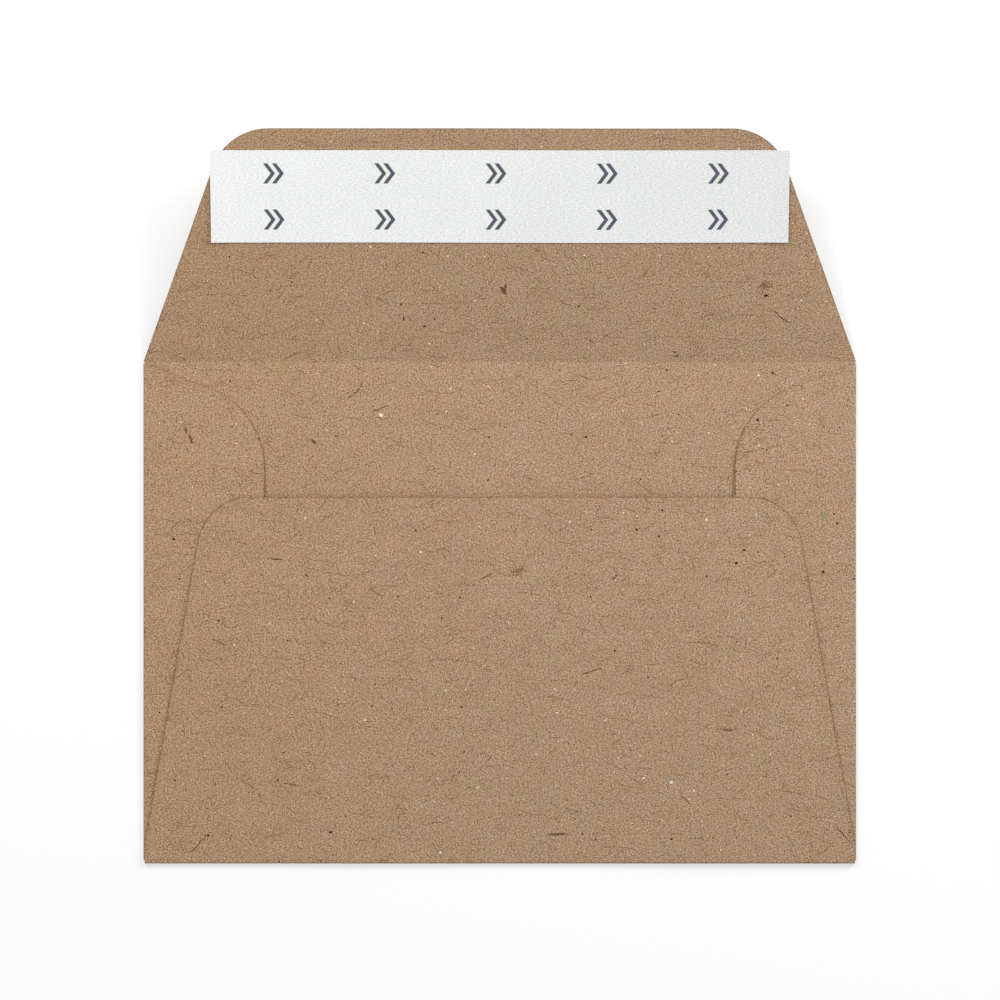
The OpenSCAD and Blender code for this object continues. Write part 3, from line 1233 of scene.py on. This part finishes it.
    def flap_point(self, x: float, height: float, above: float) -> Triple:
        """A point on or over the open top flap, which has a slight wave.

        Args:
            x: Its place along the fold.
            height: Its distance from the bend, up the flap.
            above: Its distance from the flap's inner face.

        Returns:
            The point.
        """
        wave = 0.5 * math.sin(x / 24.0 + 0.9) + 0.35 * math.cos(x / 13.0 - height / 19.0) + 0.3 * (x / 80.0)
        grown = smooth(height, 0.0, self.flap_wave_by) * self.flap_wave
        away = above - self.top_fold_in + grown * wave
        angle = math.radians(self.lean)
        y = self.panel_high + height * math.cos(angle) - away * math.sin(angle)
        z = self.paper_t + self.top_fold_in + height * math.sin(angle) + away * math.cos(angle)
        near = 1 - smooth(height, 0.0, self.flap_calm_by)
        return x, y, z + self.stack_lift(x, self.panel_high) * near


@dataclass
class EnvelopeSheet:
    """The one sheet of kraft paper, die-cut and folded."""

    form: EnvelopeForm
    view: View
    finish: KraftPaper = field(default_factory=KraftPaper)

    def _columns(self) -> list[float]:
        """Grid lines across the width, as shares of half the width."""
        half = self.form.panel_half
        return [x / half for x in edged(-half, half, self.form.grid)]

    def _lines(self) -> list[float]:
        """Grid lines up the front panel, one at either end of the side folds."""
        low, high = self.form.panel_low + self.form.relief, self.form.panel_high - self.form.relief
        return [self.form.panel_low, *edged(low, high, self.form.grid), self.form.panel_high]

    def _front_panel(self, sheet: Sheet) -> None:
        """Adds the front panel, which lies on the floor."""
        form = self.form
        sheet.add_patch(
            self._lines(),
            [share * form.panel_half for share in self._columns()],
            lambda y, x: (x, y),
            lambda y, x: (x, y, form.paper_t / 2 + form.stack_lift(x, y)),
        )

    def _folded_flap(
        self,
        sheet: Sheet,
        inner: float,
        tongue: Tongue,
        shares: Sequence[float],
        at: Callable[[float, float], Pair],
        lift: Callable[[float, float, float], float],
    ) -> None:
        """Adds a fold and its flap, folded right over.

        Args:
            sheet: The sheet that they belong to.
            inner: The inner radius of the bend.
            tongue: The flap's outline.
            shares: The grid lines along the fold, as shares of half its length.
            at: The place of what lies so far along the fold, from its middle, and so far out from it.
            lift: How far the flap stands off its flat place, by its height above the fold and by X and Y.
        """
        form = self.form
        radius = inner + form.paper_t / 2
        pivot = form.paper_t + inner

        def bend(turn: float, share: float) -> Triple:
            """A point of the bend."""
            x, y = at(share * tongue.foot, radius * math.sin(turn))
            return x, y, pivot - radius * math.cos(turn) + form.stack_lift(x, y)

        def flat(height: float, share: float) -> Triple:
            """A point of the flap."""
            x, y = at(share * tongue.half(height), -height)
            return x, y, pivot + radius + form.stack_lift(x, y) + lift(height, x, y)

        sheet.add_patch(
            spaced(0.0, math.pi, math.pi / form.bend_steps),
            shares,
            lambda t, s: at(s * tongue.foot, radius * t),
            bend,
        )
        sheet.add_patch(
            tongue.rows(form.grid),
            shares,
            lambda h, s: at(s * tongue.half(h), form.folded_over(inner) + h),
            flat,
            lambda h, s: tongue.wear_and_shade(h, s * tongue.half(h)),
        )

    def _bottom_flap(self, sheet: Sheet) -> None:
        """Adds the bottom fold and the bottom flap."""
        form = self.form
        self._folded_flap(
            sheet,
            form.bottom_in,
            form.bottom_tongue,
            self._columns(),
            lambda along, out: (along, form.panel_low - out),
            lambda h, x, y: form.mouth_lift(x, h),
        )

    def _side_flap(self, sheet: Sheet, side: int) -> None:
        """Adds one side fold and side flap.

        Args:
            sheet: The sheet that they belong to.
            side: -1 for the left one and 1 for the right one.
        """
        form, tongue = self.form, self.form.side_tongue
        lines = self._lines()[1:-1]
        middle = (lines[0] + lines[-1]) / 2
        self._folded_flap(
            sheet,
            form.side_in,
            tongue,
            [(y - middle) / tongue.foot for y in lines],
            lambda along, out: (side * (form.panel_half + out), middle + along),
            lambda h, x, y: form.side_flap_lift(h, y),
        )

    def _top_flap(self, sheet: Sheet) -> None:
        """Adds the top fold and the open top flap.

        Args:
            sheet: The sheet that they belong to.
        """
        form, tongue = self.form, self.form.top_tongue
        radius = form.top_fold_in + form.paper_t / 2
        lean = math.radians(form.lean)

        def half(turn: float) -> float:
            """Half the width of the bend, which widens from the front panel's to the flap's."""
            return form.panel_half + (tongue.foot - form.panel_half) * turn / lean

        def bend(turn: float, share: float) -> Triple:
            """A point of the bend, which lies as the front panel's upper end does."""
            z = form.paper_t + form.top_fold_in - radius * math.cos(turn)
            x = share * half(turn)
            return x, form.panel_high + radius * math.sin(turn), z + form.stack_lift(x, form.panel_high)

        sheet.add_patch(
            spaced(0.0, lean, lean / form.open_bend_steps),
            self._columns(),
            lambda t, s: (s * half(t), form.panel_high + radius * t),
            bend,
        )
        sheet.add_patch(
            tongue.rows(form.grid),
            self._columns(),
            lambda h, s: (s * tongue.half(h), form.panel_high + radius * lean + h),
            lambda h, s: form.flap_point(s * tongue.half(h), h, -form.paper_t / 2),
            lambda h, s: tongue.wear_and_shade(h, s * tongue.half(h)),
        )

    def build(self) -> bpy.types.Object:
        """Makes the sheet and dresses it.

        Returns:
            The sheet.
        """
        sheet = Sheet(self.form.paper_t)
        self._front_panel(sheet)
        self._bottom_flap(sheet)
        for side in (-1, 1):
            self._side_flap(sheet, side)
        self._top_flap(sheet)
        made = sheet.build("folded_kraft_sheet")
        return dress(made, self.finish.material(self.form, self.view), "envelope_sheet")


@dataclass
class SealStrip:
    """The peel and seal strip on the open top flap: the adhesive and the release liner over it."""

    form: EnvelopeForm
    liner_margin: float = 4.9
    liner_h: float = 21.0
    liner_end: float = 15.9
    liner_t: float = 0.08
    adhesive_t: float = 0.1
    adhesive_margin: float = 3.0
    adhesive_end: float = 6.0
    # How far each dry end of the liner lifts, and over which length it does so
    end_curl: float = 0.35
    end_curl_w: float = 9.0
    liner_finish: LinerPaper = field(default_factory=LinerPaper)
    adhesive_finish: Film = Film("adhesive", srgb(233, 226, 207), 0.35)

    def _strip(self, name: str, half: float, span: Pair, level: float, thick: float) -> bpy.types.Object:
        """Makes a thin strip that follows the flap.

        Args:
            name: The object's name.
            half: Half its length.
            span: The distance of its lower and of its upper edge from the flap's bend.
            level: The height of its lower face over the flap's inner face.
            thick: Its thickness.

        Returns:
            The strip.
        """
        form = self.form
        glued_to = form.body_w / 2 - self.liner_end - self.adhesive_end

        def point(height: float, x: float) -> Triple:
            """A point of the strip's middle surface, which lifts where nothing holds it down."""
            curl = self.end_curl * smooth(abs(x) - glued_to, 0.0, self.end_curl_w)
            return form.flap_point(x, height, level + thick / 2 + curl)

        sheet = Sheet(thick)
        across = spaced(-half, half, form.grid)
        sheet.add_patch(spaced(*span, form.grid), across, lambda h, x: (x, h), point)
        return sheet.build(name)

    def build(self) -> list[bpy.types.Object]:
        """Makes both pieces and dresses them.

        Returns:
            The adhesive and the liner.
        """
        half = self.form.body_w / 2 - self.liner_end
        high = self.form.top_tongue.depth - self.liner_margin
        low = high - self.liner_h
        inside = (low + self.adhesive_margin, high - self.adhesive_margin)
        adhesive = self._strip("adhesive_strip", half - self.adhesive_end, inside, 0.0, self.adhesive_t)
        liner = self._strip("peel_off_liner", half, (low, high), self.adhesive_t, self.liner_t)
        printed = self.liner_finish.material((low + high) / 2)
        return [
            dress(adhesive, self.adhesive_finish.material(), "seal_adhesive"),
            dress(liner, printed, "release_liner"),
        ]


@dataclass
class SeamGlue:
    """The two stripes of glue between the side flaps and the bottom flap."""

    form: EnvelopeForm
    width: float = 6.0
    inset: float = 2.0
    foot: float = 8.0
    head: float = 10.0
    finish: Film = Film("glue", srgb(214, 200, 168), 0.5)

    def _stripe(self, name: str, side: int) -> bpy.types.Object:
        """Makes one stripe, which follows the plies.

        Args:
            name: The object's name.
            side: -1 for the left one and 1 for the right one.

        Returns:
            The stripe.
        """
        form, tongue = self.form, self.form.bottom_tongue
        tilt = math.cos(math.radians(tongue.angle))
        level = form.side_level + form.glue_t / 2

        def place(height: float, across: float) -> Pair:
            """The place of a point, seen from above."""
            inward = (self.inset + across) / tilt
            return side * (tongue.side(height) - inward), form.panel_low + height

        def point(height: float, across: float) -> Triple:
            """A point of the stripe's middle surface."""
            x, y = place(height, across)
            return x, y, level + form.stack_lift(x, y)

        sheet = Sheet(form.glue_t)
        low = self.foot - form.bottom_in - form.paper_t
        heights = spaced(low, tongue.depth - self.head, form.grid)
        sheet.add_patch(heights, spaced(0.0, self.width, form.grid), place, point)
        return sheet.build(name)

    def build(self) -> list[bpy.types.Object]:
        """Makes both stripes and dresses them.

        Returns:
            The left and the right stripe.
        """
        material = self.finish.material()
        return [
            dress(self._stripe(f"glue_stripe_{word}", side), material, f"seam_glue_{word}")
            for side, word in ((-1, "left"), (1, "right"))
        ]


@dataclass(frozen=True)
class Lamp:
    """A square lamp: the place where it hangs and the length of its side, in millimetres.

    Its share is how bright it makes a flat white surface at the place it points at, 1 being white.
    """

    name: str
    place: Triple
    size: float
    share: float

    def hang(self, target: Triple) -> None:
        """Adds the lamp to the scene.

        Args:
            target: The place that it points at.
        """
        data = bpy.data.lights.new(self.name, "AREA")
        data.shape = "SQUARE"
        data.size = self.size * MM
        way = np.array(self.place) - np.array(target)
        distance = float(np.linalg.norm(way))
        slant = way[2] / distance
        data.energy = self.share * math.pi**2 * (distance * MM) ** 2 / slant
        lamp = placed(self.name, data)
        lamp.location = [v * MM for v in self.place]
        lamp.rotation_mode = "QUATERNION"
        lamp.rotation_quaternion = Vector(way).to_track_quat("Z", "Y")
        lamp.visible_camera = False


@dataclass
class Studio:
    """A plain white floor, soft lamps and the camera, straight above the envelope."""

    view: View
    sensor: float = 36.0
    clip_end: float = 100.0
    floor_half: float = 3000.0
    floor_drop: float = 0.03
    floor_tone: float = 0.55
    floor_glow: float = 0.5
    # How bright the sky is as a light, and as the camera sees it
    dome: float = 0.68
    sky: float = 1.0
    lamps: tuple[Lamp, ...] = (
        Lamp("left_lamp", (-300.0, 432.0, 378.0), 180.0, 0.22),
        Lamp("right_lamp", (430.0, 400.0, 270.0), 220.0, 0.235),
    )

    def _floor(self) -> None:
        """Makes the floor, which the camera sees as white but for the envelope's shadow."""
        half, z = self.floor_half * MM, -self.floor_drop * MM
        mesh = bpy.data.meshes.new("floor")
        corners = [(-half, -half, z), (half, -half, z), (half, half, z), (-half, half, z)]
        mesh.from_pydata(corners, [], [(0, 1, 2, 3)])
        graph = Graph(bpy.data.materials.new("floor"))
        tone = self.floor_tone
        matte = graph.node("ShaderNodeBsdfDiffuse", None, {"Color": (tone, tone, tone, 1.0)})
        path = graph.node("ShaderNodeLightPath")
        seen = graph.out(path, "Is Camera Ray").most(graph.out(path, "Is Glossy Ray"))
        glow = graph.node("ShaderNodeEmission", None, {"Strength": seen * self.floor_glow})
        both = graph.node("ShaderNodeAddShader", None, {0: graph.out(matte), 1: graph.out(glow)})
        graph.node("ShaderNodeOutputMaterial", None, {"Surface": graph.out(both)})
        mesh.materials.append(graph.owner)
        placed("floor", mesh)

    def _world(self) -> None:
        """Lights the scene evenly from all round, with a white sky for the camera."""
        world = bpy.data.worlds.new("sky")
        bpy.context.scene.world = world
        graph = Graph(world)
        seen = graph.out(graph.node("ShaderNodeLightPath"), "Is Camera Ray")
        light = graph.node("ShaderNodeMix", None, {"Factor": seen, "A": self.dome, "B": self.sky})
        back = graph.node("ShaderNodeBackground", None, {"Strength": graph.out(light)})
        graph.node("ShaderNodeOutputWorld", None, {"Surface": graph.out(back)})

    def _camera(self) -> None:
        """Hangs the camera straight above, as the photograph was taken."""
        view = self.view
        data = bpy.data.cameras.new("camera")
        data.sensor_width = self.sensor
        data.lens = self.sensor * view.camera_height / view.width
        data.clip_end = self.clip_end
        camera = placed("camera", data)
        camera.location = (view.centre[0] * MM, view.centre[1] * MM, view.camera_height * MM)
        bpy.context.scene.camera = camera

    def build(self) -> None:
        """Sets up the floor, the lamps, the sky and the camera."""
        bpy.context.scene.view_settings.view_transform = "Standard"
        self._floor()
        for lamp in self.lamps:
            lamp.hang((0.0, self.view.centre[1], 0.0))
        self._world()
        self._camera()


def main() -> None:
    """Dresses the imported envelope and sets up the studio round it."""
    logging.basicConfig(level=logging.INFO, format="%(name)s: %(message)s")
    form, view = EnvelopeForm(), View()
    Studio(view).build()
    made = [EnvelopeSheet(form, view).build(), *SeamGlue(form).build(), *SealStrip(form).build()]
    for piece in made:
        LOG.info("%s: %d faces", piece.name, len(piece.data.polygons))


if __name__ == "__main__":
    main()
